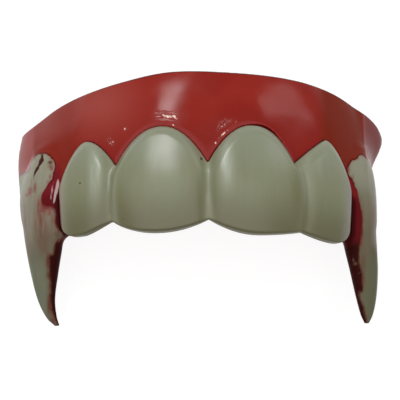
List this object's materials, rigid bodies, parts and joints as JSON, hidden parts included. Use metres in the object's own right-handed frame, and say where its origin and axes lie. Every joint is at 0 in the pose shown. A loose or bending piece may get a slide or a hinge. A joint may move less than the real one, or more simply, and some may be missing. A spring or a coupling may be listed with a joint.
{
  "type": "vampire fang denture",
  "caption": "Costume upper denture: a red gum arch with long painted fangs at its ends and a pale bridge of fused front teeth seated in its scalloped front.",
  "frame": {"origin": "under the middle of the denture's box, on the surface that its two heels stand on", "axes": "the denture lies on its back: +Z points out of its front, +Y from the biting edge to the gum rim, +X to the right as seen from the front"},
  "size_m": [0.0532, 0.0336, 0.0196],
  "materials": {
    "gum": "glossy moulded red plastic, the fangs brushed over with pale paint that wears through to the red",
    "tooth": "satin pale greenish plastic, slightly translucent"
  },
  "bodies": {
    "root": {"gum_arch": "gum", "incisor_bridge": "tooth"}
  },
  "joints": []
}
